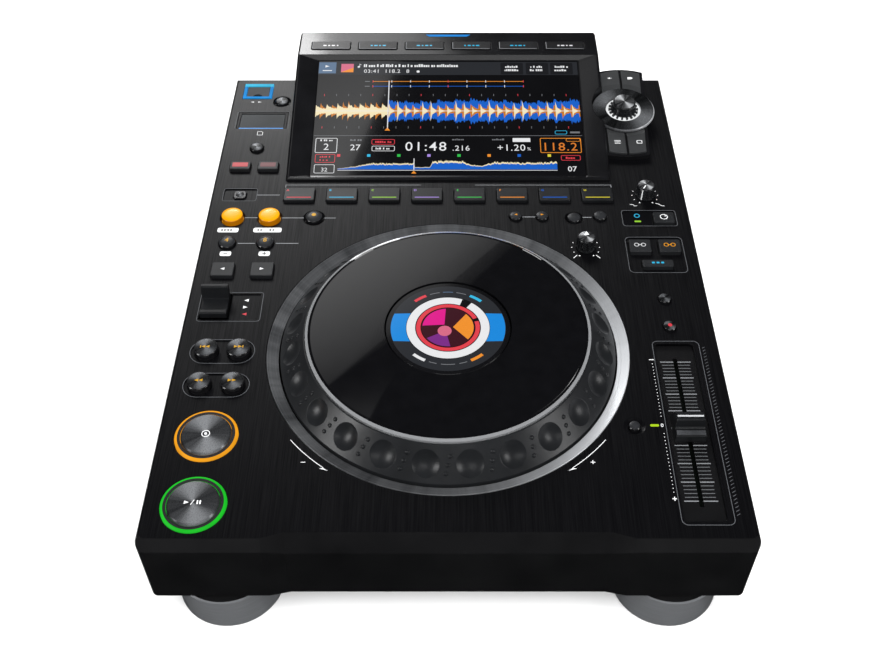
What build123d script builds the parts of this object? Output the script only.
from build123d import *
import math
import os

# A tabletop media player for DJs: a deck on four feet, with a jog wheel, a tilted screen, keys,
# knobs and a long tempo fader. One STEP file is written for each sub-part.
#
# Design frame, in mm: X to the right, Y to the back from the face plate's front edge, and Z up
# from the face plate's top. place() moves everything to the part's own frame at the end:
# centred on the table under its bounding box, +Z up.

# ---------------------------------------------------------------- body and face plate
RIM_OUTER_R = 110.0  # silver ring round the jog wheel
SIDE_COLUMN = 53.3  # plate beside that ring, where the columns of keys are
FRONT_MARGIN = 26.7  # plate in front of the ring
BEHIND_JOG = 45.9  # plate between the ring and the display housing
CASE_EDGE = 1.2  # case that shows beside the plate
SCREEN_INSET = 6.3  # screen's front edge behind the housing's
SCREEN_TILT = 11.7
SCREEN_LENGTH = 111.3
STRIP_LEAD = 3.1125  # screen's far edge to the strip behind it
STRIP_OVER_PLATE = 4.0  # of the strip, in front of the plate's rear edge

TILT = math.radians(SCREEN_TILT)
JOG_Y = FRONT_MARGIN + RIM_OUTER_R
HOUSING_FRONT = JOG_Y + RIM_OUTER_R + BEHIND_JOG
SCREEN_FRONT = HOUSING_FRONT + SCREEN_INSET
STRIP_FRONT = SCREEN_FRONT + SCREEN_LENGTH * math.cos(TILT) + STRIP_LEAD
PLATE_WIDTH = 2 * (RIM_OUTER_R + SIDE_COLUMN)
PLATE_DEPTH = STRIP_FRONT + STRIP_OVER_PLATE
BODY_WIDTH = PLATE_WIDTH + 2 * CASE_EDGE
BODY_HEIGHT = 50.0  # face plate's top to the underside
DECK_ABOVE_TABLE = 91.0
PLATE_THICK = 2.0
PLATE_CORNER = 3.0
DECK_THICK = 2.5
CASE_WALL = 2.5
CASE_CORNER = 4.0
SEAT_GAP = 0.15  # between fixed pieces that lie against each other
EDGE_GAP = 0.3  # beside a piece that is set into a hole

LIP_RUN = 5.5  # sloping lip along the front and the back
LIP_DROP = 5.6
NOTCH_HALF = 87.0  # half the width of the step in the middle of the front
NOTCH_SLANT = 12.0
NOTCH_RUN = 3.7
NOTCH_WALL_RUN = 2.5
NOTCH_DROP = 10.5

TRAY_THICK = 1.5
TRAY_FLANGE = 12.0
PANEL_MARGIN = 14.0  # rear window's edge to the side of the body
VENT_WIDTH = 3.0
VENT_LENGTH = 34.0
VENT_PITCH = 8.0
VENT_COUNT = 10
VENT_ROWS = (150.0, 260.0)

# Keys, knobs, sockets and posts keep their size when the plate grows, and their places spread
# with it. The places are written for this plate, as width and depth.
LAYOUT = (326.6, 415.0)
ACROSS = PLATE_WIDTH / LAYOUT[0]
ALONG = PLATE_DEPTH / LAYOUT[1]


def at(x, y):
    """A place of the layout on the real plate."""
    return x * ACROSS, y * ALONG


def span(middle, size):
    """The two limits of a size about its middle."""
    return middle - size / 2, middle + size / 2


# ---------------------------------------------------------------- feet
FOOT_R = 31.4
FOOT_HEIGHT = 27.5
FOOT_NECK_R = 22.0
FOOT_PAD_R = 28.5
FOOT_PAD_THICK = 1.5
FOOT_INSET_X = 34.3  # from the plate's sides
FOOT_INSET_Y = 28.5  # from the plate's front and rear edges

# ---------------------------------------------------------------- jog wheel
RIM_INNER_R = RIM_OUTER_R - 7.0
RIM_PROUD = 0.3
RIM_SLOPE_DROP = 3.2
RIM_SPIGOT_WALL = 2.0
PLATTER_R = RIM_INNER_R - 1.2
BAND_BOTTOM = -1.4
BAND_TOP = 14.2
BAND_TOP_R = PLATTER_R - 15.2
PLATTER_SKIRT = 3.6
PLATTER_WALL = 4.0
DIMPLE_COUNT = 24
DIMPLE_R = 8.1
DIMPLE_DEPTH = 2.6
DISC_R = BAND_TOP_R - 1.1
DISC_SEAT = 13.0
DISC_TOP = 16.6
DISC_RING_WIDTH = 2.9
DISC_RING_PROUD = 0.4
DISPLAY_R = 37.5
DISPLAY_TOP = 15.9
DISPLAY_UNDER = 7.0
DISPLAY_GAP = 0.7
DISH_FLOOR = 4.6
DISH_WALL = 3.0
HUB_WALL = 4.5
SPINDLE_R = 12.0
SPINDLE_BORE_R = 7.0
SPINDLE_FLANGE_R = 22.0
SPINDLE_FLANGE = 3.0
RUNNING_GAP = 0.05
THRUST_GAP = 0.2
WELL_FLOOR = -16.0
ENCODER_R = 55.0
ENCODER_THICK = 1.2
ENCODER_SLOTS = 36
ENCODER_SLOT_LENGTH = 6.0
ENCODER_SLOT_WIDTH = 3.0
ENCODER_UNDER = -9.5

# ---------------------------------------------------------------- keys
KEY_GAP = 0.3
FLANGE_SPREAD = 1.0
FLANGE_THICK = 1.2
DISH_SINK = 1.4  # depth of the plate's dish round some keys
FLANGE_GAP = 0.4
KEY_EDGE = 0.4
SOFT_CORNER = 1.5  # keys with a larger corner than this are round-cornered, the rest are cut off
POST_R = 1.6
SWITCH_GAP = 0.2
BOARD_TOP = -9.4
BOARD_THICK = 1.6
BOSS_R = 2.5

# ---------------------------------------------------------------- direction lever
LEVER_SIZE = (16.9, 18.4)
LEVER_PIVOT_X, LEVER_PIVOT_Y = at(-146.35, 169.2)
LEVER_X = span(LEVER_PIVOT_X, LEVER_SIZE[0])
LEVER_Y = span(LEVER_PIVOT_Y, LEVER_SIZE[1])
LEVER_PIVOT_Z = -6.0
LEVER_END_GAP = 1.9
LEVER_SIDE_GAP = 1.0
LEVER_RIDGE = 11.6
LEVER_LIP = 4.0
LEVER_HUB_R = 3.4
LEVER_PIN_R = 1.5
LEVER_CHEEK = 2.4
WINDOW_X = (LEVER_X[1] + 1.2, LEVER_X[1] + 19.0)  # lit label beside the lever

# ---------------------------------------------------------------- tempo fader
FADER_X, FADER_REST_Y = at(137.1, 74.2)
RECESS_X = (FADER_X - 11.6, FADER_X + 11.9)
RECESS_Y = (FADER_REST_Y - 63.8, FADER_REST_Y + 63.3)
RECESS_CORNER = 2.5
FADER_TRAVEL = 50.0  # each way from rest
FADER_SLOT = 2.4
FADER_STEM = 1.6
FADER_STEM_LENGTH = 6.0
CAP_WIDTH = 17.6
CAP_TOP_WIDTH = 15.6
CAP_FRONT = 10.2
CAP_BACK = 9.0
CAP_FLOOR_GAP = 0.5
CAP_LEAN_TOP = 10.0  # height at which the cap has its top width
POT_WIDTH = 12.0
POT_HEIGHT = 8.0

# ---------------------------------------------------------------- small knobs
KNOB_R = 6.7
KNOB_TOP_R = 6.0
KNOB_HEIGHT = 9.5
KNOB_FLUTES = 12
KNOB_FLUTE_HALF = 1.05
KNOB_FLUTE_DEPTH = 0.6
KNOB_SHAFT_R = 3.0
KNOB_LIFT = 0.5
POT_BODY = 11.0
SPEED_KNOB = at(136.8, 277.0)
JOG_ADJUST_KNOB = at(91.2, 224.0)

# ---------------------------------------------------------------- media covers and sockets
USB_WELL_SIZE = (17.6, 14.2)
CARD_WELL_SIZE = (33.5, 17.0)
USB_WELL_X, USB_WELL_Y = map(span, at(-146.1, 400.3), USB_WELL_SIZE)
CARD_WELL_X, CARD_WELL_Y = map(span, at(-138.85, 363.4), CARD_WELL_SIZE)
USB_WELL_FLOOR = -14.0
CARD_WELL_FLOOR = -12.0
WELL_WALL = 1.6
DOOR_THICK = 1.3
DOOR_SUNK = 0.3
DOOR_GAP = 0.35
DOOR_PIN_R = 0.45
DOOR_PIN_LENGTH = 0.9
DOOR_NOTCH_R = 3.6
USB_FRAME = 2.2
USB_FRAME_PROUD = 0.5
USB_SHELL = (13.2, 5.8)
USB_MOUTH = (12.2, 4.8)
USB_DEPTH = 12.0
USB_TONGUE = (11.1, 1.9)
CARD_SLOT = (24.8, 2.5)
CARD_DEPTH = 16.0
CARD_HOLDER = (30.0, 6.0)
CARD_RIM = -0.1  # top of the card well's rim, seen round its cover

# ---------------------------------------------------------------- display housing
SIDE_BAND = 48.8  # plate beside the housing
HOUSING_HALF = PLATE_WIDTH / 2 - SIDE_BAND
HOUSING_FRONT_RISE = 1.5
STRIP_ABOVE_SCREEN = 3.73
STRIP_TOP = SCREEN_LENGTH * math.sin(TILT) + STRIP_ABOVE_SCREEN
STRIP_BACK = STRIP_FRONT + 30.0
HOUSING_BACK = STRIP_BACK + 6.5
HOUSING_BACK_RISE = 10.0
HOUSING_UNDER = -6.0
HOUSING_WALL = 2.5
HOUSING_BEVEL = 1.4
SCREEN_HALF = HOUSING_HALF - 16.7
RIM_INSET = 2.0
GLASS_MARGIN = 2.0
PANEL_THICK = 6.0
STRIP_KEY_COUNT = 6
STRIP_KEY_PITCH = (HOUSING_HALF - 7.1) * 2 / STRIP_KEY_COUNT
STRIP_KEY_SIZE = (STRIP_KEY_PITCH - 6.0, 10.3)
STRIP_KEY_Y = STRIP_FRONT + 11.6
STRIP_KEY_PROUD = 0.7
BAR_HALF = 17.4
BAR_Y = STRIP_BACK - 4.1
BAR_DEPTH = 2.6

# ---------------------------------------------------------------- rotary selector
POD_TILT = 6.0
POD_CENTRE = (HOUSING_HALF + 15.4, PLATE_DEPTH - 52.0, 9.0)
POD_LEFT = -16.4
POD_FRONT = -46.0
POD_FRONT_RIGHT = 15.1
POD_BACK = 43.0
POD_BACK_RIGHT = 18.6
POD_BACK_ARCH = 3.2
POD_FRONT_ARCH = 2.2
POD_WALL = 2.0
RING_R = 23.0
RING_INNER_R = 12.9
RING_THICK = 1.9
RING_BEVEL = 0.6
RING_CLEAR = 0.5
GLOW_INNER_R = 4.6
SELECTOR_SHAFT_R = 3.0
SELECTOR_SHAFT_LOW = -6.0
ENCODER_BODY = 12.5
SELECTOR_SKIRT_R = 9.4
SELECTOR_TOP_R = 8.3
SELECTOR_TOP_EDGE = 0.9
SELECTOR_LIFT = 1.4
SELECTOR_HEIGHT = 9.2
SELECTOR_FLUTES = 16
SELECTOR_FLUTE_DEPTH = 1.6
SELECTOR_FLUTE_HALF = 0.75
SELECTOR_TRAVEL = 0.6
POD_KEY_SPLIT = 0.8
POD_KEY_PROUD = 1.4
POD_KEY_EDGE = 2.4
POD_KEY_INNER_Y = -15.5
POD_KEY_SLOPE = 4.6

# ---------------------------------------------------------------- rear sockets
JACK_X = tuple(x * ACROSS for x in (100.0, 118.0, 136.0))
JACK_Z = -28.0
JACK_R = 4.15
JACK_BORE_R = 1.6
JACK_REACH = 7.0
LAN_X = 70.0 * ACROSS
USB_B_X = 44.0 * ACROSS
MAIN_BOARD_TOP = -40.0
MAIN_BOSS_R = 3.0
LAN_SIZE = (16.0, 13.5)
LAN_MOUTH = (11.8, 8.2)
LAN_DEPTH = 12.0
USB_B_SIZE = (12.0, 11.0)
USB_B_MOUTH = (8.5, 7.8)
USB_B_TONGUE = (5.6, 3.2)
SOCKET_LENGTH = 20.0
POWER_X = -84.0 * ACROSS
POWER_Z = -28.0
POWER_R = 5.5
POWER_PROUD = 2.4
INLET_X = -122.0 * ACROSS
INLET_Z = -29.0
INLET_SIZE = (28.0, 21.0)
INLET_MOUTH = (24.4, 17.2)
INLET_CORNER = 0.6
INLET_DEPTH = 16.0
INLET_PIN = (2.0, 4.0)
INLET_PIN_LENGTH = 10.5
INLET_PIN_SPREAD = 7.0
INLET_EARTH_RISE = 4.0
LOCK_X = 10.0 * ACROSS
LOCK_WIDTH = 7.0
LOCK_Z = (-34.0, -31.0)

TINY = 1e-6
FAR = 60.0
LOW = (Align.CENTER, Align.CENTER, Align.MIN)  # a box that stands on its own place


# ---------------------------------------------------------------- shapes used throughout
def slab(x, y, z):
    """A block between two limits on each axis."""
    centre = Pos((x[0] + x[1]) / 2, (y[0] + y[1]) / 2, (z[0] + z[1]) / 2)
    return centre * Box(x[1] - x[0], y[1] - y[0], z[1] - z[0])


def lathe(points):
    """A closed (radius, height) outline turned round Z."""
    return revolve(Plane.XZ * make_face(Polyline(*points, close=True)), Axis.Z)


def side_prism(points, x):
    """A closed (y, z) outline run along X."""
    return extrude(Plane.YZ.offset(x[0]) * make_face(Polyline(*points, close=True)), x[1] - x[0])


def rise(sketch, low, high):
    """A plan outline run from one height to another."""
    return Pos(0, 0, low) * extrude(sketch, high - low)


def tube(outer, inner, low, high):
    return rise(Circle(outer) - Circle(inner), low, high)


def drum(radius, low, high):
    return rise(Circle(radius), low, high)


# ---------------------------------------------------------------- keys
class Key:
    """One press key: where it is, how large its cap is, and how far it stands and travels."""

    def __init__(self, name, x, y, width, depth=None, corner=0.8, proud=2.0, travel=0.6, ring=None):
        self.name = name
        self.x, self.y = at(x, y)
        self.width = width
        self.depth = depth  # none on a round key, whose width is its diameter
        self.corner = corner
        self.proud = proud
        self.travel = travel
        self.ring = ring  # radius of the dish or light ring round it

    def plan(self, grow=0.0):
        if self.depth is None:
            outline = Circle(self.width / 2 + grow)
        elif self.corner > SOFT_CORNER:
            outline = RectangleRounded(self.width + 2 * grow, self.depth + 2 * grow, self.corner + grow)
        else:
            block = Rectangle(self.width + 2 * grow, self.depth + 2 * grow)
            outline = chamfer(block.vertices(), self.corner)
        return Pos(self.x, self.y) * outline

    def flange_plan(self, grow=0.0):
        """The plan of the square-cut flange under the key's cap."""
        wide = self.width + 2 * (FLANGE_SPREAD + grow)
        deep = (self.depth or self.width) + 2 * (FLANGE_SPREAD + grow)
        return Pos(self.x, self.y) * Rectangle(wide, deep)


BIG_KEYS = [
    Key("cue_button", -136.9, 67.3, 28.8, proud=4.0, travel=1.2, ring=18.0),
    Key("play_button", -137.0, 21.0, 28.8, proud=4.0, travel=1.2, ring=18.0),
]
DISHED_KEYS = [
    Key("loop_in_button", -146.7, 253.6, 14.2, proud=3.0, ring=8.7),
    Key("loop_out_button", -121.5, 253.6, 14.2, proud=3.0, ring=8.7),
    Key("loop_exit_button", -91.2, 253.3, 11.8, proud=1.6, ring=7.6),
    Key("usb_stop_button", -126.6, 387.1, 10.2, proud=0.8, ring=6.8),
    Key("delete_button", 85.8, 253.3, 9.4, proud=1.0, ring=6.4),
    Key("tempo_reset_button", 106.5, 74.4, 6.8, proud=0.8, ring=6.3),
]
ROUND_KEYS = [
    Key("beat_loop_4_button", -146.9, 227.9, 11.6, proud=1.8),
    Key("beat_loop_8_button", -121.5, 227.9, 11.6, proud=1.8),
    Key("time_mode_button", -139.0, 329.6, 10.0, proud=1.8),
    Key("memory_button", 103.5, 254.5, 9.0, proud=1.6),
    Key("tempo_range_button", 137.1, 175.6, 8.2, proud=1.6),
    Key("master_tempo_button", 137.1, 151.8, 8.2, proud=1.6),
]
PILL_KEYS = [
    Key("track_back_button", -146.3, 131.5, 14.6, proud=4.2),
    Key("track_next_button", -126.6, 131.5, 14.6, proud=4.2),
    Key("search_back_button", -146.5, 104.9, 14.2, proud=4.2),
    Key("search_forward_button", -126.8, 104.9, 14.2, proud=4.2),
]
FLAT_KEYS = [
    Key("beat_jump_back_key", -146.0, 201.0, 14.7, 12.5, proud=2.6),
    Key("beat_jump_forward_key", -120.5, 201.0, 14.7, 12.5, proud=2.6),
    Key("jog_mode_key", 146.5, 251.9, 14.1, 10.6, proud=2.2),
    Key("call_delete_button", -144.65, 277.3, 8.7, 7.9, corner=2.4, proud=0.6),
]
PAD_LEFT = -103.2
PAD_PITCH = 29.53
PAD_SIZE = (21.4, 13.2)
PAD_Y = 276.1
PAD_LETTERS = "abcdefgh"
PADS = [
    Key(f"hot_cue_{letter}", PAD_LEFT + PAD_PITCH * n, PAD_Y, *PAD_SIZE, proud=2.2, travel=0.8)
    for n, letter in enumerate(PAD_LETTERS)
]
SHARED_KEYS = {
    "sync_keys": [
        Key("beat_sync", 127.0, 223.5, 14.2, 12.0, proud=2.4),
        Key("master", 146.6, 223.5, 14.2, 12.0, proud=2.4),
        Key("key_sync", 136.7, 206.7, 20.2, 6.4, proud=2.4),
    ],
    "quantize_slip_keys": [
        Key("quantize", -148.1, 307.25, 14.6, 8.7, proud=2.6),
        Key("slip", -128.25, 307.25, 14.6, 8.7, proud=2.6),
    ],
    "cue_call_buttons": [
        Key("call_back", 46.1, 254.5, 8.8, proud=1.6),
        Key("call_next", 64.1, 254.5, 8.8, proud=1.6),
    ],
}
SINGLE_KEYS = BIG_KEYS + DISHED_KEYS + ROUND_KEYS + PILL_KEYS + FLAT_KEYS + PADS
DECK_KEYS = SINGLE_KEYS + [key for keys in SHARED_KEYS.values() for key in keys]

# Shallow panels sunk into the plate round groups of keys: (x, y, width, depth, corner).
PANEL_SINK = 0.7
WINDOW_SINK = 0.6
KEY_PANELS = [
    (-136.75, 131.5, 38.4, 18.4, 9.1),  # track keys
    (-136.75, 104.9, 38.4, 17.6, 8.7),  # search keys
    (137.0, 217.0, 37.0, 33.2, 3.0),  # sync keys
    (137.0, 253.15, 36.0, 15.1, 1.5),  # jog mode
    (-144.7, 277.7, 22.6, 12.4, 1.2),  # call and delete
]


def key_body(key, wall):
    """A key under a wall: cap, the flange that holds it in, and the post above its switch."""
    flange_top = -wall - SEAT_GAP
    flange_low = flange_top - FLANGE_THICK
    cap = rise(key.plan(), flange_top - TINY, key.proud)
    cap = chamfer(cap.faces().sort_by(Axis.Z)[-1].edges(), KEY_EDGE)
    flange = rise(key.flange_plan(), flange_low, flange_top)
    post_low = BOARD_TOP + key.travel + SWITCH_GAP
    post = Pos(key.x, key.y, post_low) * Box(2 * POST_R, 2 * POST_R, flange_low - post_low, align=LOW)
    return cap + flange + post


def big_key_body(key):
    """Cue or play: a turned face with a bright edge, held in by its light ring."""
    r = key.width / 2
    flange_top = -PLATE_THICK - SEAT_GAP
    flange_low = flange_top - FLANGE_THICK
    post_low = BOARD_TOP + key.travel + SWITCH_GAP
    outline = [
        (0, flange_top - TINY),
        (r, flange_top - TINY),
        (r, key.proud - 1.0),
        (r - 1.0, key.proud),
        (r - 1.6, key.proud - 0.3),
        (0, key.proud - 0.3),
    ]
    post = Pos(key.x, key.y, post_low) * Box(2 * POST_R, 2 * POST_R, flange_low - post_low, align=LOW)
    return Pos(key.x, key.y) * lathe(outline) + rise(key.flange_plan(), flange_low, flange_top) + post


# ---------------------------------------------------------------- deck outline and lips
def deck_outline(half_width, front, notch, back, corner):
    """The deck's plan: a rectangle whose front edge steps back in the middle."""
    slant = NOTCH_HALF + NOTCH_SLANT
    points = [
        (-half_width, front),
        (-slant, front),
        (-NOTCH_HALF, notch),
        (NOTCH_HALF, notch),
        (slant, front),
        (half_width, front),
        (half_width, back),
        (-half_width, back),
    ]
    face = make_face(Polyline(*points, close=True))
    corners = [v for v in face.vertices() if abs(abs(v.X) - half_width) < TINY]
    return fillet(corners, corner)


def lip_air():
    """What is cut off the case above its front lip: a low slope, steeper in the middle."""
    side = ((0.0, 0.0), (-LIP_RUN, -LIP_DROP))
    middle = ((NOTCH_RUN, 0.0), (NOTCH_WALL_RUN - LIP_RUN, -NOTCH_DROP))
    slant = NOTCH_HALF + NOTCH_SLANT
    stations = [
        (-BODY_WIDTH, side),
        (-slant, side),
        (-NOTCH_HALF, middle),
        (NOTCH_HALF, middle),
        (slant, side),
        (BODY_WIDTH, side),
    ]
    sections = []
    for x, (top, foot) in stations:
        points = [(x, *top), (x, *foot), (x, -FAR, foot[1]), (x, -FAR, FAR), (x, top[0], FAR)]
        sections.append(Face(Wire.make_polygon([Vector(*p) for p in points])))
    return loft(sections, ruled=True)


def edge_air():
    """The bevels along the sides and the back of the case."""
    half = BODY_WIDTH / 2
    top = PLATE_WIDTH / 2 + EDGE_GAP
    run = half - top
    back = PLATE_DEPTH + EDGE_GAP
    right = [(top, TINY), (half + 1, TINY), (half + 1, -run), (half, -run)]
    along = (-FAR, PLATE_DEPTH + FAR)
    air = []
    for sign in (1, -1):
        points = [(sign * x, z) for x, z in right]
        face = Plane.XZ.offset(-along[1]) * make_face(Polyline(*points, close=True))
        air.append(extrude(face, along[1] - along[0]))
    drop = LIP_RUN - EDGE_GAP
    rear = [(back, TINY), (back + LIP_RUN + 1, TINY), (back + LIP_RUN + 1, -drop), (back + drop, -drop)]
    air.append(side_prism(rear, (-BODY_WIDTH, BODY_WIDTH)))
    return air


# ---------------------------------------------------------------- what the deck is cut for
def screen_cut():
    reach = SCREEN_HALF + 6.0
    return slab((-reach, reach), (SCREEN_FRONT - 2.9, STRIP_FRONT - 3.0), (-FAR, FAR))


def well_cuts(grow):
    """The holes for the USB and card wells."""
    cuts = []
    for x, y in ((USB_WELL_X, USB_WELL_Y), (CARD_WELL_X, CARD_WELL_Y)):
        cuts.append(slab((x[0] - grow, x[1] + grow), (y[0] - grow, y[1] + grow), (-FAR, FAR)))
    return cuts


def lever_cut():
    x = (LEVER_X[0] - LEVER_SIDE_GAP, LEVER_X[1] + LEVER_SIDE_GAP)
    y = (LEVER_Y[0] - LEVER_END_GAP, LEVER_Y[1] + LEVER_END_GAP)
    return slab(x, y, (-FAR, FAR))


def knob_holes():
    hole = drum(KNOB_SHAFT_R + EDGE_GAP, -FAR, FAR)
    return [Pos(*place) * hole for place in (SPEED_KNOB, JOG_ADJUST_KNOB)]


# ---------------------------------------------------------------- face plate
def face_plate():
    outline = deck_outline(PLATE_WIDTH / 2, 0.0, NOTCH_RUN, PLATE_DEPTH, PLATE_CORNER)
    plate = rise(outline, -PLATE_THICK, 0)
    cuts = []
    for key in DECK_KEYS:
        if key in BIG_KEYS:
            cuts.append(Pos(key.x, key.y) * drum(key.ring + EDGE_GAP, -FAR, FAR))
        else:
            cuts.append(rise(key.plan(KEY_GAP), -FAR, FAR))
    for key in DISHED_KEYS:
        wide = key.ring
        narrow = key.width / 2 + KEY_GAP
        dish = [(0, 0.1), (wide + 0.1, 0.1), (wide, 0), (narrow, -DISH_SINK), (0, -DISH_SINK)]
        cuts.append(Pos(key.x, key.y) * lathe(dish))
    for x, y, width, depth, corner in KEY_PANELS:
        cuts.append(Pos(*at(x, y)) * rise(RectangleRounded(width, depth, corner), -PANEL_SINK, FAR))
    cuts.append(Pos(0, JOG_Y) * drum(RIM_OUTER_R + EDGE_GAP, -FAR, FAR))
    recess = RectangleRounded(RECESS_X[1] - RECESS_X[0], RECESS_Y[1] - RECESS_Y[0], RECESS_CORNER)
    cuts.append(Pos(sum(RECESS_X) / 2, sum(RECESS_Y) / 2) * rise(recess, -FAR, FAR))
    cuts.append(screen_cut())
    cuts.append(lever_cut())
    window_y = (LEVER_Y[0] - LEVER_END_GAP, LEVER_Y[1] + LEVER_END_GAP)
    cuts.append(slab(WINDOW_X, window_y, (-WINDOW_SINK, FAR)))
    cuts += knob_holes()
    card = well_cuts(WELL_WALL + EDGE_GAP)[1]
    usb_frame = slab(
        (USB_WELL_X[0] - USB_FRAME - EDGE_GAP, USB_WELL_X[1] + USB_FRAME + EDGE_GAP),
        (USB_WELL_Y[0] - USB_FRAME - EDGE_GAP, USB_WELL_Y[1] + USB_FRAME + EDGE_GAP),
        (-FAR, FAR),
    )
    cuts += [card, usb_frame]
    return plate - cuts


# ---------------------------------------------------------------- upper case
def upper_case():
    """The moulded shell: lip, walls, the deck under the face plate and the jog well."""
    half = BODY_WIDTH / 2
    back = PLATE_DEPTH + LIP_RUN
    floor = -BODY_HEIGHT
    notch_wall = NOTCH_WALL_RUN - LIP_RUN
    case = rise(deck_outline(half, -LIP_RUN, notch_wall, back, CASE_CORNER), floor, 0)
    air = lip_air()
    case = case - air - edge_air()
    pocket = deck_outline(
        PLATE_WIDTH / 2 + SEAT_GAP, -TINY, NOTCH_RUN - TINY, PLATE_DEPTH + SEAT_GAP, PLATE_CORNER
    )
    case -= rise(pocket, -PLATE_THICK, 1)
    inside = deck_outline(
        half - CASE_WALL,
        CASE_WALL - LIP_RUN,
        CASE_WALL + notch_wall,
        back - CASE_WALL,
        CASE_CORNER - CASE_WALL,
    )
    deck_under = -PLATE_THICK - DECK_THICK
    hollow = rise(inside, floor - 1, deck_under) - Pos(0, CASE_WALL, -CASE_WALL) * air
    case -= hollow
    case += jog_well(deck_under)
    case += lever_cheeks(deck_under)
    case += board_bosses(deck_under)
    cuts = [rise(key.flange_plan(FLANGE_GAP), -BODY_HEIGHT, 1) for key in DECK_KEYS]
    cuts.append(Pos(0, JOG_Y) * drum(RIM_INNER_R + RIM_SPIGOT_WALL + EDGE_GAP, WELL_FLOOR, 1))
    cuts.append(Pos(0, JOG_Y) * drum(SPINDLE_BORE_R, -BODY_HEIGHT, 1))
    cuts.append(screen_cut())
    cuts.append(lever_cut())
    cuts.append(fader_slot())
    cuts += knob_holes()
    cuts += well_cuts(WELL_WALL + EDGE_GAP)
    cuts.append(rear_window(back))
    return case - cuts


def jog_well(deck_under):
    """A round tub under the deck that holds the jog wheel's working parts."""
    inner = RIM_INNER_R + RIM_SPIGOT_WALL + EDGE_GAP
    return Pos(0, JOG_Y) * drum(inner + CASE_WALL, WELL_FLOOR - CASE_WALL, deck_under)


def lever_cheeks(deck_under):
    """Two cheeks under the deck with the lever's pivot bores."""
    y = (LEVER_PIVOT_Y - 4.5, LEVER_PIVOT_Y + 4.5)
    z = (LEVER_PIVOT_Z - 4.0, deck_under)
    gap = LEVER_SIDE_GAP
    cheeks = []
    for low in (LEVER_X[0] - gap - LEVER_CHEEK, LEVER_X[1] + gap):
        x = (low, low + LEVER_CHEEK)
        cheek = slab(x, y, z)
        hole = Circle(LEVER_PIN_R + RUNNING_GAP)
        bore = Plane.YZ.offset(x[0] - 1) * Pos(LEVER_PIVOT_Y, LEVER_PIVOT_Z) * hole
        cheeks.append(cheek - extrude(bore, LEVER_CHEEK + 2))
    return cheeks


BOARD_BOSSES = [(-111.5, 14.0), (-111.5, 60.0), (-158.0, 44.0), (-108.0, 320.0), (-158.0, 240.0)]
BOARD_BOSSES += [(118.0, 14.0), (155.5, 150.0), (117.0, 184.0), (155.5, 300.0)]
BOARD_BOSSES += [(-60.0, 258.0), (20.0, 258.0), (75.0, 263.5)]


def board_bosses(deck_under):
    """Posts that the key boards are screwed to."""
    return [Pos(*at(*place)) * drum(BOSS_R, BOARD_TOP, deck_under) for place in BOARD_BOSSES]


def fader_slot():
    reach = FADER_TRAVEL + FADER_STEM_LENGTH / 2 + 0.4
    y = (FADER_REST_Y - reach, FADER_REST_Y + reach)
    return slab((FADER_X - FADER_SLOT / 2, FADER_X + FADER_SLOT / 2), y, (-PLATE_THICK - DECK_THICK - 1, 1))


def rear_window(back):
    half = BODY_WIDTH / 2 - PANEL_MARGIN
    return slab((-half, half), (back - CASE_WALL - 1, back + 1), (-BODY_HEIGHT - 1, -11.0))


# ---------------------------------------------------------------- lower case
def rear_panel_place():
    """Front and back faces of the rear panel."""
    outer = PLATE_DEPTH + LIP_RUN - CASE_WALL - SEAT_GAP
    return outer - TRAY_THICK, outer


def lower_case():
    """A folded steel tray: floor, low flanges and the rear panel with its socket holes."""
    inset = CASE_WALL + EDGE_GAP
    half = BODY_WIDTH / 2 - inset
    front = CASE_WALL + NOTCH_WALL_RUN - LIP_RUN + EDGE_GAP
    panel_front, panel_back = rear_panel_place()
    floor = -BODY_HEIGHT
    thick = TRAY_THICK
    tray = slab((-half, half), (front, panel_back), (floor, floor + thick))
    tray += slab((-half, -half + thick), (front, panel_back), (floor, floor + TRAY_FLANGE))
    tray += slab((half - thick, half), (front, panel_back), (floor, floor + TRAY_FLANGE))
    tray += slab((-half, half), (front, front + thick), (floor, floor + TRAY_FLANGE))
    tray += slab((-half, half), (panel_front, panel_back), (floor, -PLATE_THICK - DECK_THICK - EDGE_GAP))
    through = (panel_front - 1, panel_back + 1)
    cuts = [socket_hole(x, JACK_Z, JACK_R + 1.0, through) for x in JACK_X]
    cuts.append(socket_hole(POWER_X, POWER_Z, POWER_R + KEY_GAP, through))
    for x, size in ((LAN_X, LAN_SIZE), (USB_B_X, USB_B_SIZE)):
        cuts.append(board_socket_box(x, size, EDGE_GAP, through))
    wide, high = INLET_MOUTH[0] / 2 + 1.5, INLET_MOUTH[1] / 2 + 1.5
    cuts.append(slab((INLET_X - wide, INLET_X + wide), through, (INLET_Z - high, INLET_Z + high)))
    cuts.append(slab(span(LOCK_X, LOCK_WIDTH), through, LOCK_Z))
    for row in VENT_ROWS:
        for n in range(VENT_COUNT):
            x = (n - (VENT_COUNT - 1) / 2) * VENT_PITCH
            y = (row * ALONG, row * ALONG + VENT_LENGTH)
            cuts.append(slab(span(x, VENT_WIDTH), y, (floor - 1, floor + 2)))
    boss = drum(MAIN_BOSS_R, floor + thick, MAIN_BOARD_TOP - BOARD_THICK)
    tray += [Pos(*at(*place)) * boss for place in MAIN_BOSSES]
    corner = CASE_CORNER - CASE_WALL
    plan = Pos(0, (front + panel_back) / 2) * RectangleRounded(2 * half, panel_back - front, corner)
    return (tray & rise(plan, floor - 1, 1)) - cuts


MAIN_BOSSES = [(-60.0, 330.0), (140.0, 330.0), (-60.0, 400.0), (145.0, 405.0)]


def socket_hole(x, z, radius, through):
    face = Plane.XZ.offset(-through[1]) * Pos(x, z) * Circle(radius)
    return extrude(face, through[1] - through[0])


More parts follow.
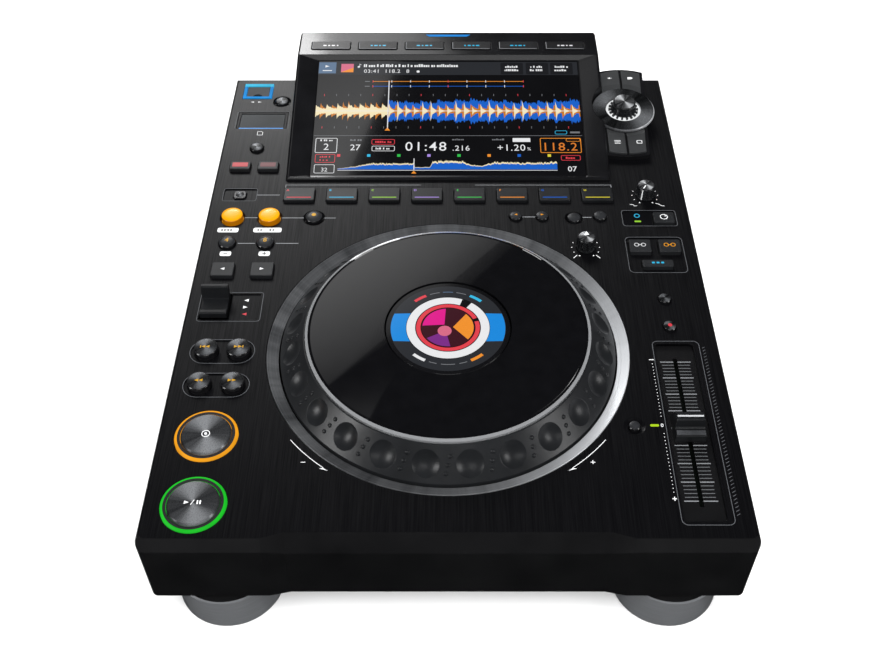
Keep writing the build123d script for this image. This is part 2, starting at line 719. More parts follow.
def board_socket_box(x, size, grow, y):
    low = MAIN_BOARD_TOP
    return slab((x - size[0] / 2 - grow, x + size[0] / 2 + grow), y, (low - grow, low + size[1] + grow))


# ---------------------------------------------------------------- feet
def feet():
    """Four turned metal feet, each on a rubber pad and a dark neck."""
    table = -DECK_ABOVE_TABLE
    top = table + FOOT_HEIGHT
    body = -BODY_HEIGHT
    outline = [
        (0, table),
        (FOOT_PAD_R, table),
        (FOOT_PAD_R, table + FOOT_PAD_THICK),
        (FOOT_R, table + FOOT_PAD_THICK),
        (FOOT_R, top - 1.0),
        (FOOT_R - 1.0, top),
        (FOOT_NECK_R, top),
        (FOOT_NECK_R, body),
        (0, body),
    ]
    foot = lathe(outline)
    foot_x = PLATE_WIDTH / 2 - FOOT_INSET_X
    places = [(x, y) for y in (FOOT_INSET_Y, PLATE_DEPTH - FOOT_INSET_Y) for x in (-foot_x, foot_x)]
    return Compound([Pos(x, y) * foot for x, y in places])


# ---------------------------------------------------------------- jog wheel
def jog_rim():
    """The silver ring fixed round the jog wheel, sloping down to it."""
    spigot = RIM_INNER_R + RIM_SPIGOT_WALL
    slope_low = RIM_PROUD - RIM_SLOPE_DROP
    low = -PLATE_THICK - DECK_THICK
    outline = [
        (RIM_OUTER_R, -PLATE_THICK),
        (RIM_OUTER_R, RIM_PROUD - 0.3),
        (RIM_OUTER_R - 0.3, RIM_PROUD),
        (RIM_INNER_R, slope_low),
        (RIM_INNER_R, low),
        (spigot, low),
        (spigot, -PLATE_THICK),
    ]
    return Pos(0, JOG_Y) * lathe(outline)


def jog_platter():
    """The wheel's moulding: dimpled sloping band, seat for the top disc, dish and hub."""
    hub_bore = SPINDLE_R + RUNNING_GAP
    hub = hub_bore + HUB_WALL
    dish = DISPLAY_R + DISPLAY_GAP + 3.5
    web_under = DISC_SEAT - DISH_WALL
    skirt_low = BAND_BOTTOM - PLATTER_SKIRT
    slope = (PLATTER_R - BAND_TOP_R) / (BAND_TOP - BAND_BOTTOM)
    inner_low = PLATTER_R - PLATTER_WALL
    inner_high = inner_low - slope * (web_under - skirt_low)
    outline = [
        (hub_bore, DISH_FLOOR),
        (dish, DISH_FLOOR),
        (dish, DISC_SEAT),
        (DISC_R + EDGE_GAP, DISC_SEAT),
        (DISC_R + EDGE_GAP, BAND_TOP),
        (BAND_TOP_R, BAND_TOP),
        (PLATTER_R, BAND_BOTTOM),
        (PLATTER_R, skirt_low),
        (inner_low, skirt_low),
        (inner_high, web_under),
        (dish + DISH_WALL, web_under),
        (dish + DISH_WALL, DISH_FLOOR - DISH_WALL),
        (hub + 3.0, DISH_FLOOR - DISH_WALL),
        (hub + 3.0, ENCODER_UNDER + ENCODER_THICK),
        (hub, ENCODER_UNDER + ENCODER_THICK),
        (hub, hub_low()),
        (hub_bore, hub_low()),
    ]
    return Pos(0, JOG_Y) * (lathe(outline) - dimples())


def hub_low():
    return WELL_FLOOR + SPINDLE_FLANGE + 2 * THRUST_GAP


def dimples():
    """Finger dimples: balls sunk square into the middle of the sloping band."""
    run = PLATTER_R - BAND_TOP_R
    fall = BAND_TOP - BAND_BOTTOM
    length = math.hypot(run, fall)
    out, up = fall / length, run / length
    ball_r = (DIMPLE_R**2 + DIMPLE_DEPTH**2) / (2 * DIMPLE_DEPTH)
    lift = ball_r - DIMPLE_DEPTH
    middle_r = (PLATTER_R + BAND_TOP_R) / 2
    middle_z = (BAND_TOP + BAND_BOTTOM) / 2
    ball = Pos(middle_r + out * lift, 0, middle_z + up * lift) * Sphere(ball_r)
    step = 360 / DIMPLE_COUNT
    return [Rot(0, 0, step * (n + 0.5)) * ball for n in range(DIMPLE_COUNT)]


def jog_top_disc():
    """The glossy top, with a bright raised ring at its edge."""
    hole = DISPLAY_R + DISPLAY_GAP
    ring_in = DISC_R - DISC_RING_WIDTH
    ring_top = DISC_TOP + DISC_RING_PROUD
    outline = [
        (hole, DISC_SEAT),
        (hole, DISC_TOP),
        (ring_in - 0.3, DISC_TOP),
        (ring_in, ring_top),
        (DISC_R, ring_top - 1.4),
        (DISC_R, DISC_SEAT),
    ]
    return Pos(0, JOG_Y) * lathe(outline)


def encoder_disc():
    """A slotted disc on the hub, read by the jog sensor."""
    bore = SPINDLE_R + RUNNING_GAP + HUB_WALL + RUNNING_GAP
    disc = tube(ENCODER_R, bore, ENCODER_UNDER, ENCODER_UNDER + ENCODER_THICK)
    middle = ENCODER_R - ENCODER_SLOT_LENGTH / 2 - 1.5
    slot = Pos(middle, 0, ENCODER_UNDER) * Box(ENCODER_SLOT_LENGTH, ENCODER_SLOT_WIDTH, 2 * FAR)
    slots = [Rot(0, 0, 360 / ENCODER_SLOTS * n) * slot for n in range(ENCODER_SLOTS)]
    return Pos(0, JOG_Y) * (disc - slots)


def jog_spindle():
    """The fixed hollow post that the platter turns on; it carries the display above the dish."""
    flange_top = WELL_FLOOR + SPINDLE_FLANGE
    outline = [
        (SPINDLE_BORE_R, WELL_FLOOR),
        (SPINDLE_FLANGE_R, WELL_FLOOR),
        (SPINDLE_FLANGE_R, flange_top),
        (SPINDLE_R + HUB_WALL, flange_top),
        (SPINDLE_R + HUB_WALL, flange_top + THRUST_GAP),
        (SPINDLE_R, flange_top + THRUST_GAP),
        (SPINDLE_R, DISPLAY_UNDER),
        (SPINDLE_BORE_R, DISPLAY_UNDER),
    ]
    return Pos(0, JOG_Y) * lathe(outline)


def jog_display():
    """The round display module in the middle of the wheel."""
    outline = [
        (0, DISPLAY_UNDER),
        (DISPLAY_R - 1.5, DISPLAY_UNDER),
        (DISPLAY_R, DISPLAY_UNDER + 1.5),
        (DISPLAY_R, DISPLAY_TOP - 0.4),
        (DISPLAY_R - 0.4, DISPLAY_TOP),
        (0, DISPLAY_TOP),
    ]
    return Pos(0, JOG_Y) * lathe(outline)


# ---------------------------------------------------------------- direction lever
def direction_lever():
    """A rocking lever: tall ridge behind, low lip in front, on a hub with two pivot pins."""
    front, back = LEVER_Y
    outline = [
        (front, -0.6),
        (front, LEVER_LIP - 0.8),
        (front + 0.8, LEVER_LIP),
        (front + 2.8, LEVER_LIP),
        (front + 3.6, LEVER_LIP - 1.6),
        (back - 5.0, LEVER_LIP - 0.6),
        (back - 3.2, LEVER_RIDGE - 0.8),
        (back - 2.4, LEVER_RIDGE),
        (back - 0.6, LEVER_RIDGE),
        (back, LEVER_RIDGE - 0.8),
        (back, -0.6),
        (LEVER_PIVOT_Y + LEVER_HUB_R, LEVER_PIVOT_Z),
        (LEVER_PIVOT_Y - LEVER_HUB_R, LEVER_PIVOT_Z),
    ]
    lever = side_prism(outline, LEVER_X)
    hub = Plane.YZ.offset(LEVER_X[0]) * Pos(LEVER_PIVOT_Y, LEVER_PIVOT_Z) * Circle(LEVER_HUB_R)
    lever += extrude(hub, LEVER_X[1] - LEVER_X[0])
    reach = LEVER_SIDE_GAP + LEVER_CHEEK
    pin = Plane.YZ.offset(LEVER_X[0] - reach) * Pos(LEVER_PIVOT_Y, LEVER_PIVOT_Z) * Circle(LEVER_PIN_R)
    return lever + extrude(pin, LEVER_X[1] - LEVER_X[0] + 2 * reach)


# ---------------------------------------------------------------- tempo fader
def tempo_fader():
    """The fader cap, scooped in front of the ridge that carries its line, on a flat stem."""
    low = -PLATE_THICK + CAP_FLOOR_GAP
    outline = [
        (-CAP_FRONT, low),
        (-CAP_FRONT, 3.2),
        (-CAP_FRONT + 0.8, 4.0),
        (-6.4, 4.4),
        (-5.0, 3.6),
        (-3.8, 4.6),
        (-2.7, 8.6),
        (-2.0, 9.3),
        (2.2, 9.6),
        (3.0, 9.0),
        (6.6, 3.6),
        (CAP_BACK, 0.6),
        (CAP_BACK, low),
    ]
    cap = side_prism(outline, (-CAP_WIDTH / 2, CAP_WIDTH / 2))
    lean = (CAP_WIDTH - CAP_TOP_WIDTH) / 2
    for sign in (-1, 1):
        foot, head = sign * CAP_WIDTH / 2, sign * (CAP_WIDTH / 2 - lean)
        wedge = [(foot, 1.0), (head, CAP_LEAN_TOP), (sign * CAP_WIDTH, CAP_LEAN_TOP)]
        face = Plane.XZ.offset(-CAP_WIDTH) * make_face(Polyline(*wedge, close=True))
        cap -= extrude(face, 2 * CAP_WIDTH)
    stem_low = -PLATE_THICK - DECK_THICK - POT_HEIGHT / 2
    half = FADER_STEM_LENGTH / 2
    stem = slab((-FADER_STEM / 2, FADER_STEM / 2), (-half, half), (stem_low, low + 1))
    return Pos(FADER_X, FADER_REST_Y) * (cap + stem)


def fader_pot():
    """The slide potentiometer under the fader, open along its slot."""
    top = -PLATE_THICK - DECK_THICK - SEAT_GAP
    reach = FADER_TRAVEL + FADER_STEM_LENGTH / 2
    x = (FADER_X - POT_WIDTH / 2, FADER_X + POT_WIDTH / 2)
    y = (FADER_REST_Y - reach - 6, FADER_REST_Y + reach + 6)
    body = slab(x, y, (top - POT_HEIGHT, top))
    slot = slab(
        (FADER_X - FADER_SLOT / 2, FADER_X + FADER_SLOT / 2),
        (FADER_REST_Y - reach - 0.4, FADER_REST_Y + reach + 0.4),
        (top - POT_HEIGHT + 2, 1),
    )
    return body - slot


# ---------------------------------------------------------------- small knobs
def groove(bottom_r, half, low, high):
    """A three-faced groove down a knob's side, as what is cut away from it."""
    mouth = 2 * bottom_r
    points = [(bottom_r, -half / 3), (bottom_r, half / 3), (mouth, half * 3), (mouth, -half * 3)]
    return rise(make_face(Polyline(*points, close=True)), low, high)


def small_knob(place):
    """A fluted pointer knob on its shaft."""
    low = KNOB_LIFT
    outline = [
        (0, low),
        (KNOB_R, low),
        (KNOB_TOP_R, KNOB_HEIGHT - 0.6),
        (KNOB_TOP_R - 0.5, KNOB_HEIGHT),
        (0, KNOB_HEIGHT),
    ]
    knob = lathe(outline)
    flute = groove(KNOB_TOP_R - KNOB_FLUTE_DEPTH, KNOB_FLUTE_HALF, low + 1.0, KNOB_HEIGHT - 1.2)
    knob -= [Rot(0, 0, 360 / KNOB_FLUTES * n) * flute for n in range(KNOB_FLUTES)]
    knob += drum(KNOB_SHAFT_R, BOARD_TOP + SWITCH_GAP, low + 1)
    return Pos(*place) * knob


# ---------------------------------------------------------------- media wells, covers
def well_bucket(x, y, floor, top):
    """An open-topped box under the deck."""
    wall = WELL_WALL
    outer = slab((x[0] - wall, x[1] + wall), (y[0] - wall, y[1] + wall), (floor - wall, top))
    return outer - slab(x, y, (floor, 1))


def door_pivot(y):
    """Place of a cover's hinge line, at the middle of its round back edge."""
    return y[1] - DOOR_GAP - DOOR_THICK / 2, -DOOR_SUNK - DOOR_THICK / 2


def pivot_rod(x, y, radius, reach):
    """A rod along a cover's hinge line, reaching past both sides of its well."""
    pivot_y, pivot_z = door_pivot(y)
    face = Plane.YZ.offset(x[0] - reach) * Pos(pivot_y, pivot_z) * Circle(radius)
    return extrude(face, x[1] - x[0] + 2 * reach)


def pivot_bore(x, y):
    return pivot_rod(x, y, DOOR_PIN_R + RUNNING_GAP, DOOR_PIN_LENGTH + SEAT_GAP)


def media_sockets():
    """The two wells with the USB-A socket and the card socket in their floors."""
    usb_well = well_bucket(USB_WELL_X, USB_WELL_Y, USB_WELL_FLOOR, -PLATE_THICK)
    card_well = well_bucket(CARD_WELL_X, CARD_WELL_Y, CARD_WELL_FLOOR, CARD_RIM)
    card_well -= pivot_bore(CARD_WELL_X, CARD_WELL_Y)
    usb_x, usb_y = sum(USB_WELL_X) / 2, sum(USB_WELL_Y) / 2
    floor = USB_WELL_FLOOR
    shell = Box(*USB_SHELL, USB_DEPTH + 1, align=LOW)
    shell -= Pos(0, 0, 1) * Box(*USB_MOUTH, USB_DEPTH + 1, align=LOW)
    tongue = Pos(0, 0, 1) * Box(*USB_TONGUE, USB_DEPTH - 2, align=LOW)
    socket = Pos(usb_x, usb_y, floor - USB_DEPTH) * (shell + tongue)
    usb_well -= Pos(usb_x, usb_y, floor - WELL_WALL - 1) * Box(*USB_SHELL, 2 * WELL_WALL + 2, align=LOW)
    card_x, card_y = sum(CARD_WELL_X) / 2, sum(CARD_WELL_Y) / 2
    card_low = CARD_WELL_FLOOR - CARD_DEPTH
    card_well += Pos(card_x, card_y, card_low) * Box(*CARD_HOLDER, CARD_DEPTH, align=LOW)
    card_well -= Pos(card_x, card_y, card_low + 1.5) * Box(*CARD_SLOT, CARD_DEPTH, align=LOW)
    return Compound([usb_well.solid(), socket.solid(), card_well.solid()])


def door(x, y, notch_r):
    """A cover hinged along its round back edge, with a fingernail notch in front if it has one."""
    pivot_y, pivot_z = door_pivot(y)
    top = -DOOR_SUNK
    wide = (x[0] + DOOR_GAP, x[1] - DOOR_GAP)
    front = y[0] + DOOR_GAP
    leaf = slab(wide, (front, pivot_y), (top - DOOR_THICK, top))
    if notch_r:
        leaf -= Pos((x[0] + x[1]) / 2, front) * drum(notch_r, -FAR, FAR)
    knuckle = Plane.YZ.offset(wide[0]) * Pos(pivot_y, pivot_z) * Circle(DOOR_THICK / 2)
    leaf += extrude(knuckle, wide[1] - wide[0])
    return leaf + pivot_rod(x, y, DOOR_PIN_R, DOOR_PIN_LENGTH)


# ---------------------------------------------------------------- display housing
def rim_height(y):
    """Height of the housing's sloping rim at a place along the deck."""
    slope = (STRIP_TOP - HOUSING_FRONT_RISE) / (STRIP_FRONT - HOUSING_FRONT)
    return HOUSING_FRONT_RISE + slope * (y - HOUSING_FRONT)


def screen_point(along, below=0.0):
    """(y, z) of a point on the screen's plane, or below it."""
    y = SCREEN_FRONT + along * math.cos(TILT) + below * math.sin(TILT)
    return y, along * math.sin(TILT) - below * math.cos(TILT)


def recess_air():
    """The sloping facets from the rim down to the screen, as what is cut away above them."""
    near, far = screen_point(0.0), screen_point(SCREEN_LENGTH)
    rim_x = HOUSING_HALF - RIM_INSET
    rim_near = HOUSING_FRONT + RIM_INSET
    rim_far = STRIP_FRONT - 0.4
    low = [(-SCREEN_HALF, *near), (SCREEN_HALF, *near), (SCREEN_HALF, *far), (-SCREEN_HALF, *far)]
    rim_low, rim_high = rim_height(rim_near), rim_height(rim_far)
    high = [
        (-rim_x, rim_near, rim_low),
        (rim_x, rim_near, rim_low),
        (rim_x, rim_far, rim_high),
        (-rim_x, rim_far, rim_high),
    ]
    over = [tuple(h + 0.4 * (h - b) for h, b in zip(top, foot)) for top, foot in zip(high, low)]
    faces = [Face(Wire.make_polygon([Vector(*p) for p in ring])) for ring in (low, over)]
    return loft(faces, ruled=True)


def panel_slab(grow, extra=0.0):
    """The display panel's block, or the pocket that holds it."""
    margin = GLASS_MARGIN + grow
    below = PANEL_THICK + extra
    points = [
        screen_point(-margin),
        screen_point(SCREEN_LENGTH + margin),
        screen_point(SCREEN_LENGTH + margin, below),
        screen_point(-margin, below),
    ]
    half = SCREEN_HALF + margin
    return side_prism(points, (-half, half))


def pod_frame():
    return Pos(*POD_CENTRE) * Rot(POD_TILT, 0, 0)


def pod_plan(inset):
    """The pod's plan in its own tilted frame, with arched front and back edges."""
    left = POD_LEFT + inset
    front = POD_FRONT + inset
    back = POD_BACK - inset
    front_right = POD_FRONT_RIGHT - inset
    back_right = POD_BACK_RIGHT - inset
    sides = Line((left, back), (left, front)) + Line((front_right, front), (back_right, back))
    nose_top = ((left + front_right) / 2, front - POD_FRONT_ARCH)
    arch_top = ((left + back_right) / 2, back + POD_BACK_ARCH)
    nose = ThreePointArc((left, front), nose_top, (front_right, front))
    arch = ThreePointArc((back_right, back), arch_top, (left, back))
    return make_face(sides + nose + arch)


def pod():
    """The tilted pod beside the screen that carries the selector and its four keys."""
    above_plate = slab((0, BODY_WIDTH), (HOUSING_FRONT, PLATE_DEPTH), (0, FAR))
    solid = pod_frame() * rise(pod_plan(0.0), -30, 0) & above_plate
    return solid - pod_frame() * rise(pod_plan(POD_WALL), -30, -POD_WALL)


def pod_key_plans(grow):
    """Plans of the four keys: the pod's outline, split in the middle and cut back round the ring."""
    outline = pod_plan(POD_KEY_EDGE - grow)
    ring = Circle(RING_R + RING_CLEAR + 0.3 - grow)
    plans = []
    for y, right in (((-FAR, POD_KEY_INNER_Y), POD_FRONT_RIGHT), ((-POD_KEY_INNER_Y, FAR), POD_BACK_RIGHT)):
        y = (y[0], y[1] + grow) if y[0] == -FAR else (y[0] - grow, y[1])
        middle = (POD_LEFT + right) / 2
        for x in ((-FAR, middle - POD_KEY_SPLIT + grow), (middle + POD_KEY_SPLIT - grow, FAR)):
            window = Pos(sum(x) / 2, sum(y) / 2) * Rectangle(x[1] - x[0], y[1] - y[0])
            plans.append(Sketch() + (outline & window) - ring)
    return plans


def selector_keys():
    """Four keys round the selector ring, their tops sloping down to it."""
    flange_top = -POD_WALL - SEAT_GAP
    slope = [
        (0, 0.2),
        (RING_R + RING_CLEAR, 0.2),
        (RING_R + RING_CLEAR + POD_KEY_SLOPE, POD_KEY_PROUD),
        (RING_R + RING_CLEAR + POD_KEY_SLOPE, POD_KEY_PROUD + 1),
        (0, POD_KEY_PROUD + 1),
    ]
    keys = []
    for cap, flange in zip(pod_key_plans(0.0), pod_key_plans(0.35)):
        body = rise(cap, flange_top - TINY, POD_KEY_PROUD)
        body = chamfer(body.faces().sort_by(Axis.Z)[-1].edges(), KEY_EDGE)
        body -= lathe(slope)
        keys.append(pod_frame() * (body + rise(flange, flange_top - 0.9, flange_top)))
    return Compound([key.solid() for key in keys])


def strip_keys():
    """The six keys behind the screen."""
    keys = []
    for n in range(STRIP_KEY_COUNT):
        key = Key(f"strip_{n}", 0, 0, *STRIP_KEY_SIZE, proud=STRIP_KEY_PROUD)
        key.x = (n - (STRIP_KEY_COUNT - 1) / 2) * STRIP_KEY_PITCH
        key.y = STRIP_KEY_Y
        keys.append(key)
    return keys


def strip_key_solids():
    flange_top = -HOUSING_WALL - SEAT_GAP
    solids = []
    for key in strip_keys():
        cap = rise(key.plan(), flange_top - TINY, key.proud)
        cap = chamfer(cap.faces().sort_by(Axis.Z)[-1].edges(), KEY_EDGE)
        body = cap + rise(key.flange_plan(), flange_top - FLANGE_THICK, flange_top)
        solids.append((Pos(0, 0, STRIP_TOP) * body).solid())
    return Compound(solids)


def bar_plan(grow):
    """The light bar's plan, with slanted ends."""
    half = BAR_HALF + grow
    low, high = BAR_Y - BAR_DEPTH / 2 - grow, BAR_Y + BAR_DEPTH / 2 + grow
    return make_face(Polyline((-half + 3, low), (half - 3, low), (half, high), (-half, high), close=True))


def display_housing():
    """The wedge that carries the screen, with the selector pod moulded onto its right side."""
    outline = [
        (HOUSING_FRONT, 0),
        (HOUSING_FRONT, HOUSING_FRONT_RISE),
        (STRIP_FRONT, STRIP_TOP),
        (STRIP_BACK, STRIP_TOP),
        (HOUSING_BACK, HOUSING_BACK_RISE),
        (STRIP_BACK, HOUSING_UNDER),
        (PLATE_DEPTH + LIP_RUN + EDGE_GAP, HOUSING_UNDER),
        (PLATE_DEPTH + LIP_RUN + EDGE_GAP, 0),
    ]
    shell = side_prism(outline, (-HOUSING_HALF, HOUSING_HALF))
    tops = [
        edge
        for edge in shell.edges()
        if abs(abs(edge.center().X) - HOUSING_HALF) < TINY and edge.center().Z > HOUSING_FRONT_RISE
    ]
    shell = chamfer(tops, HOUSING_BEVEL)
    shell += pod()
    wall = HOUSING_WALL
    under_near = screen_point(-wall, PANEL_THICK)
    under_far = screen_point(SCREEN_LENGTH, PANEL_THICK)
    rib = STRIP_FRONT + wall
    inside = [
        (under_near[0] + 24.0, -1.0),
        (under_far[0], under_far[1]),
        (rib, under_far[1]),
        (rib, STRIP_TOP - wall),
        (STRIP_BACK - 0.7 * wall, STRIP_TOP - wall),
        (HOUSING_BACK - wall, HOUSING_BACK_RISE),
        (STRIP_BACK - 0.7 * wall, HOUSING_UNDER + wall),
        (PLATE_DEPTH + LIP_RUN + EDGE_GAP + wall, HOUSING_UNDER + wall),
        (PLATE_DEPTH + LIP_RUN + EDGE_GAP + wall, -1.0),
    ]
    shell -= side_prism(inside, (-HOUSING_HALF + wall, HOUSING_HALF - wall))
    shell -= recess_air()
    shell -= panel_slab(SEAT_GAP, SEAT_GAP)
    cuts = [rise(key.plan(KEY_GAP), STRIP_TOP - wall - 1, FAR) for key in strip_keys()]
    cuts.append(rise(bar_plan(SEAT_GAP), STRIP_TOP - 1.2, FAR))
    cuts.append(pod_frame() * drum(RING_R + RING_CLEAR, 0, FAR))
    cuts.append(pod_frame() * drum(RING_INNER_R, -POD_WALL - 1, 1))
    cuts += [pod_frame() * rise(plan, -POD_WALL - 1, 1) for plan in pod_key_plans(KEY_GAP)]
    return shell - cuts


def display_panel():
    """Glass and screen in one tilted module."""
    return panel_slab(0.0)


# ---------------------------------------------------------------- selector
def selector_ring():
    outline = [
        (RING_INNER_R, 0),
        (RING_R, 0),
        (RING_R, RING_THICK - RING_BEVEL),
        (RING_R - RING_BEVEL, RING_THICK),
        (RING_INNER_R + 0.4, RING_THICK - 0.2),
        (RING_INNER_R, RING_THICK - 0.6),
    ]
    return pod_frame() * lathe(outline)


def selector_glow():
    """The light ring round the foot of the selector knob."""
    outer = RING_INNER_R - SEAT_GAP
    return pod_frame() * tube(outer, GLOW_INNER_R, -POD_WALL, RING_THICK - 1.2)


def selector_shaft():
    """The shaft that the knob turns on, which also pushes a switch."""
    low = SELECTOR_SHAFT_LOW
    outline = [
        (0, low),
        (SELECTOR_SHAFT_R, low),
        (SELECTOR_SHAFT_R, SELECTOR_LIFT + 5.0),
        (0, SELECTOR_LIFT + 5.0),
    ]
    return pod_frame() * lathe(outline)


def selector_knob():
    """A fluted knob with a turned top, flared at its foot."""
    low = RING_THICK - 1.2 + SELECTOR_TRAVEL + 0.4
    top = SELECTOR_HEIGHT
    bore = SELECTOR_SHAFT_R + RUNNING_GAP
    outline = [
        (bore, low),
        (SELECTOR_SKIRT_R, low),
        (SELECTOR_SKIRT_R, low + 0.8),
        (SELECTOR_TOP_R - 0.8, top - 3.2),
        (SELECTOR_TOP_R, top - 2.4),
        (SELECTOR_TOP_R, top - SELECTOR_TOP_EDGE),
        (SELECTOR_TOP_R - SELECTOR_TOP_EDGE, top),
        (0, top),
        (0, SELECTOR_LIFT + 5.0 + RUNNING_GAP),
        (bore, SELECTOR_LIFT + 5.0 + RUNNING_GAP),
    ]
    knob = lathe(outline)
    flute = groove(SELECTOR_SKIRT_R - SELECTOR_FLUTE_DEPTH, SELECTOR_FLUTE_HALF, low + 0.9, top - 3.0)
    knob -= [Rot(0, 0, 360 / SELECTOR_FLUTES * n) * flute for n in range(SELECTOR_FLUTES)]
    return pod_frame() * knob


def rotary_body(place, size, low, high, shaft_r, blind):
    """The body of an encoder or a potentiometer, with the bore that its shaft turns in."""
    body = place * (Pos(0, 0, low) * Box(size, size, high - low, align=LOW))
    return body - place * drum(shaft_r + RUNNING_GAP, blind, high + 1)


def selector_encoder():
    """The selector's encoder and push switch, standing on the face plate inside the pod."""
    top = -POD_WALL - SEAT_GAP
    blind = SELECTOR_SHAFT_LOW - SELECTOR_TRAVEL - SWITCH_GAP
    body = rotary_body(pod_frame(), ENCODER_BODY, -2 * POD_CENTRE[2], top, SELECTOR_SHAFT_R, blind)
    return body & slab((0, BODY_WIDTH), (0, PLATE_DEPTH), (0, FAR))


def knob_pot(place):
    """A knob's potentiometer, between the deck and its board."""
    top = -PLATE_THICK - DECK_THICK - SEAT_GAP
    blind = BOARD_TOP + SWITCH_GAP / 2
    return rotary_body(Pos(*place), POT_BODY, BOARD_TOP, top, KNOB_SHAFT_R, blind)


# ---------------------------------------------------------------- light guides and trims
def light_guides():
    """Everything that glows: cue and play rings, USB frame, selector ring and the rear bar."""
    rings = []
    for key in BIG_KEYS:
        inner = key.width / 2 + KEY_GAP
        outline = [
            (inner, -PLATE_THICK),
            (key.ring, -PLATE_THICK),
            (key.ring, 0.3),
            (key.ring - 0.9, 1.0),
            (inner + 0.6, 1.0),
            (inner, 0.4),
        ]
        rings.append((Pos(key.x, key.y) * lathe(outline)).solid())
    frame = slab(
        (USB_WELL_X[0] - USB_FRAME, USB_WELL_X[1] + USB_FRAME),
        (USB_WELL_Y[0] - USB_FRAME, USB_WELL_Y[1] + USB_FRAME),
        (-PLATE_THICK, USB_FRAME_PROUD),
    )
    frame -= slab(USB_WELL_X, USB_WELL_Y, (-FAR, FAR))
    frame -= pivot_bore(USB_WELL_X, USB_WELL_Y)
    bar = rise(bar_plan(0.0), STRIP_TOP - 1.2, STRIP_TOP)
    return Compound([*rings, frame.solid(), selector_glow().solid(), bar.solid()])


def trim_rings():
    return Compound([jog_rim().solid(), selector_ring().solid()])


# ---------------------------------------------------------------- boards
def board(near, far):
    """A key board under the deck, between two corners of the layout."""
    x, y = zip(at(*near), at(*far))
    return slab(x, y, (BOARD_TOP - BOARD_THICK, BOARD_TOP))


def circuit_boards():
    """Key boards under the deck, the fader's slide potentiometer and the main board."""
    low = BOARD_TOP - BOARD_THICK
    left = board((-160.0, 8.0), (-110.5, 348.0))
    lever_room = (-PLATE_WIDTH, LEVER_X[1] + 2 * LEVER_CHEEK)
    left -= slab(lever_room, (LEVER_Y[0] - 6, LEVER_Y[1] + 6), (-FAR, FAR))
    right = board((113.0, 8.0), (158.5, 305.0))
    pot = fader_pot()
    pot_y = (-FAR, FADER_REST_Y + FADER_TRAVEL + FADER_STEM_LENGTH + 8.0)
    right -= slab(span(FADER_X, POT_WIDTH + 2 * EDGE_GAP), pot_y, (-FAR, FAR))
    pads = board((-109.5, 247.5), (112.0, 291.0))
    adjust_x, adjust_y = JOG_ADJUST_KNOB
    arm = (adjust_y - 8.0, pads.bounding_box().min.Y + 1)
    pads += slab(span(adjust_x, 18.0), arm, (low, BOARD_TOP))
    main_x = (-70.0 * ACROSS, 155.0 * ACROSS)
    main_y = (300.0 * ALONG, rear_panel_place()[0] - EDGE_GAP)
    main = slab(main_x, main_y, (MAIN_BOARD_TOP - BOARD_THICK, MAIN_BOARD_TOP))
    boards = [left, right, pads, pot, main, selector_encoder()]
    boards += [knob_pot(SPEED_KNOB), knob_pot(JOG_ADJUST_KNOB)]
    return Compound([part.solid() for part in boards])


# ---------------------------------------------------------------- rear sockets
def board_socket(x, size, mouth, depth, tongue):
    """A socket on the main board, open to the back."""
    back = rear_panel_place()[1] + 0.6
    body = board_socket_box(x, size, 0.0, (back - SOCKET_LENGTH, back))
    middle = MAIN_BOARD_TOP + size[1] / 2
    half_x, half_z = mouth[0] / 2, mouth[1] / 2
    body -= slab((x - half_x, x + half_x), (back - depth, back + 1), (middle - half_z, middle + half_z))
    if tongue:
        half_x, half_z = tongue[0] / 2, tongue[1] / 2
        body += slab((x - half_x, x + half_x), (back - depth, back - 1), (middle - half_z, middle + half_z))
    return body


def phono_jack(x):
    """A phono jack: block on the inside of the panel, barrel outside."""
    front, back = rear_panel_place()
    barrel = socket_hole(x, JACK_Z, JACK_R, (front - 1, back + JACK_REACH))
    block = slab((x - 6.5, x + 6.5), (front - 12.0, front - SEAT_GAP), (MAIN_BOARD_TOP, JACK_Z + 6.5))
    bore = socket_hole(x, JACK_Z, JACK_BORE_R, (back, back + JACK_REACH + 1))
    return block + barrel - bore


def mains_inlet():
    """A mains inlet with its three pins."""
    front, back = rear_panel_place()
    wide, high = INLET_MOUTH[0] / 2, INLET_MOUTH[1] / 2
    x, z = INLET_X, INLET_Z
    face = back + SEAT_GAP
    wall = 1.2
    depth = (face - INLET_DEPTH - 2, face)
    body = slab((x - wide - wall, x + wide + wall), depth, (z - high - wall, z + high + wall))
    flange_wide, flange_high = INLET_SIZE[0] / 2 + 4, INLET_SIZE[1] / 2
    body += slab((x - flange_wide, x + flange_wide), (face, face + 2.0), (z - flange_high, z + flange_high))
    mouth = RectangleRounded(*INLET_MOUTH, INLET_CORNER)
    hollow = extrude(Plane.XZ.offset(-(face + 3)) * Pos(x, z) * mouth, INLET_DEPTH + 3)
    body -= hollow
    for offset, lift in ((-INLET_PIN_SPREAD, 0.0), (INLET_PIN_SPREAD, 0.0), (0.0, INLET_EARTH_RISE)):
        pin_x = (x + offset - INLET_PIN[0] / 2, x + offset + INLET_PIN[0] / 2)
        pin_z = (z - 2 + lift - INLET_PIN[1] / 2, z - 2 + lift + INLET_PIN[1] / 2)
        body += slab(pin_x, (face - INLET_DEPTH - 1, face - INLET_DEPTH + INLET_PIN_LENGTH), pin_z)
    return body


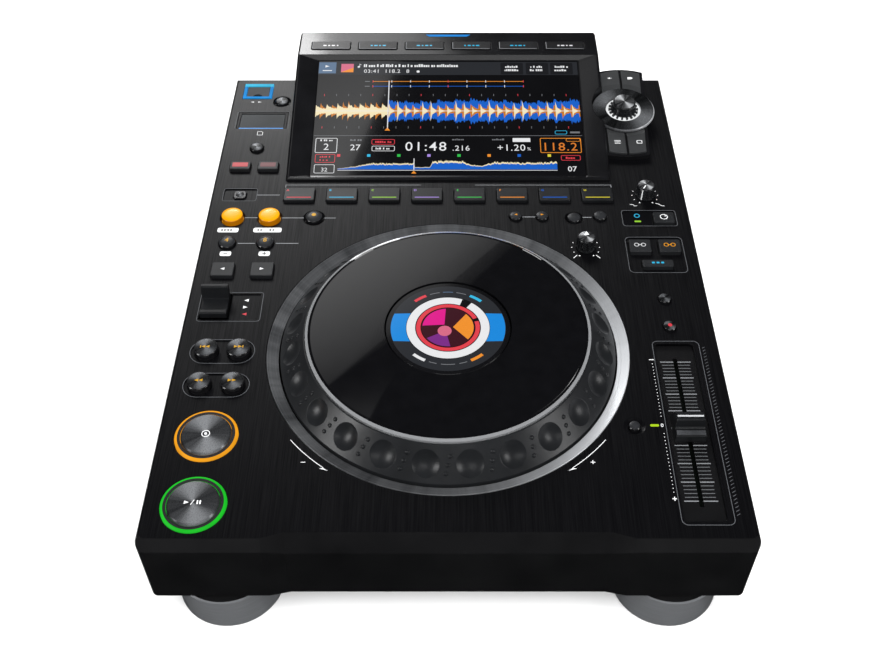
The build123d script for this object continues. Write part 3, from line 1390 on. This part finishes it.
def rear_sockets():
    parts = [phono_jack(x) for x in JACK_X]
    parts.append(board_socket(LAN_X, LAN_SIZE, LAN_MOUTH, LAN_DEPTH, None))
    parts.append(board_socket(USB_B_X, USB_B_SIZE, USB_B_MOUTH, 9.0, USB_B_TONGUE))
    parts.append(mains_inlet())
    return Compound([part.solid() for part in parts])


def power_button():
    front, back = rear_panel_place()
    cap = socket_hole(POWER_X, POWER_Z, POWER_R, (front - 3.0, back + POWER_PROUD))
    return cap + socket_hole(POWER_X, POWER_Z, POWER_R + 1.2, (front - 3.0, front - SEAT_GAP))


# ---------------------------------------------------------------- all sub-parts
def sub_parts():
    yield "face_plate", face_plate()
    yield "upper_case", upper_case()
    yield "lower_case", lower_case()
    yield "feet", feet()
    yield "display_housing", display_housing()
    yield "display_panel", display_panel()
    yield "display_keys", strip_key_solids()
    yield "trim_rings", trim_rings()
    yield "light_guides", light_guides()
    yield "jog_platter", jog_platter()
    yield "jog_top_disc", jog_top_disc()
    yield "encoder_disc", encoder_disc()
    yield "jog_spindle", jog_spindle()
    yield "jog_display", jog_display()
    yield "direction_lever", direction_lever()
    yield "tempo_fader", tempo_fader()
    yield "speed_knob", small_knob(SPEED_KNOB)
    yield "jog_adjust_knob", small_knob(JOG_ADJUST_KNOB)
    yield "selector_shaft", selector_shaft()
    yield "selector_knob", selector_knob()
    yield "selector_keys", selector_keys()
    yield "media_sockets", media_sockets()
    yield "usb_cover", door(USB_WELL_X, USB_WELL_Y, DOOR_NOTCH_R)
    yield "card_cover", door(CARD_WELL_X, CARD_WELL_Y, 0.0)
    yield "circuit_boards", circuit_boards()
    yield "rear_sockets", rear_sockets()
    yield "power_button", power_button()
    for key in SINGLE_KEYS:
        yield key.name, big_key_body(key) if key in BIG_KEYS else key_body(key, PLATE_THICK)
    for name, keys in SHARED_KEYS.items():
        yield name, Compound([key_body(key, PLATE_THICK).solid() for key in keys])


def place():
    """From the design frame to the part's own: centred under its box, on the table."""
    front = -LIP_RUN
    return Pos(0, -(front + HOUSING_BACK) / 2, DECK_ABOVE_TABLE)


def main():
    os.makedirs("parts", exist_ok=True)
    for name, shape in sub_parts():
        export_step(place() * shape, f"parts/{name}.step")


main()
